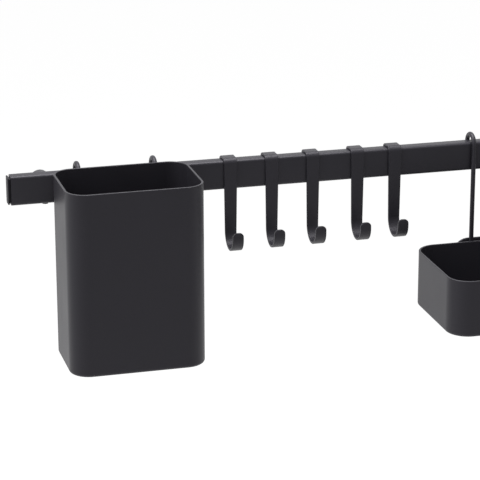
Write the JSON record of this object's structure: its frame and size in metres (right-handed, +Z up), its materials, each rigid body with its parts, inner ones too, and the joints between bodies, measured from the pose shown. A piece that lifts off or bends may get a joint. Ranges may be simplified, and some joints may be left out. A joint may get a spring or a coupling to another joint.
{
  "type": "kitchen utensil rail",
  "caption": "Black powder-coated wall rail of rectangular tube with sliding strap hooks, a tall open utensil container and a low tray hung on it by round wire hooks.",
  "frame": {"origin": "on the wall plane, midway between the two wall posts' screw holes, level with the rail's centre line", "axes": "+X along the rail to the right, +Y into the wall, +Z up"},
  "size_m": [0.605, 0.1393, 0.1578],
  "materials": {
    "powder_coat": "matte black fine-grain powder coat on steel",
    "cap_plastic": "matte black moulded plastic",
    "screw_black": "blackened steel"
  },
  "bodies": {
    "rail": {"rail": "powder_coat", "end_cap_left": "cap_plastic", "end_cap_right": "cap_plastic", "wall_post_left": "powder_coat", "wall_post_right": "powder_coat", "set_screw_left": "screw_black", "set_screw_right": "screw_black"},
    "container": {"utensil_container": "powder_coat", "container_wire_left": "powder_coat", "container_wire_right": "powder_coat"},
    "hook_1": {"strap_hook_1": "powder_coat"},
    "hook_2": {"strap_hook_2": "powder_coat"},
    "hook_3": {"strap_hook_3": "powder_coat"},
    "hook_4": {"strap_hook_4": "powder_coat"},
    "hook_5": {"strap_hook_5": "powder_coat"},
    "tray": {"tray": "powder_coat", "tray_wire_left": "powder_coat", "tray_wire_right": "powder_coat", "tray_back_plate": "powder_coat"}
  },
  "joints": [
    {"name": "container_slide", "type": "slide", "parent": "rail", "child": "container", "axis": [1, 0, 0], "range_m": [-0.0159, 0.0169]},
    {"name": "hook_1_slide", "type": "slide", "parent": "rail", "child": "hook_1", "axis": [1, 0, 0], "range_m": [-0.0169, 0.0119]},
    {"name": "hook_2_slide", "type": "slide", "parent": "rail", "child": "hook_2", "axis": [1, 0, 0], "range_m": [-0.0119, 0.0119]},
    {"name": "hook_3_slide", "type": "slide", "parent": "rail", "child": "hook_3", "axis": [1, 0, 0], "range_m": [-0.0119, 0.0137]},
    {"name": "hook_4_slide", "type": "slide", "parent": "rail", "child": "hook_4", "axis": [1, 0, 0], "range_m": [-0.0137, 0.0105]},
    {"name": "hook_5_slide", "type": "slide", "parent": "rail", "child": "hook_5", "axis": [1, 0, 0], "range_m": [-0.0105, 0.0317]},
    {"name": "tray_slide", "type": "slide", "parent": "rail", "child": "tray", "axis": [1, 0, 0], "range_m": [-0.0317, 0.0647]}
  ]
}
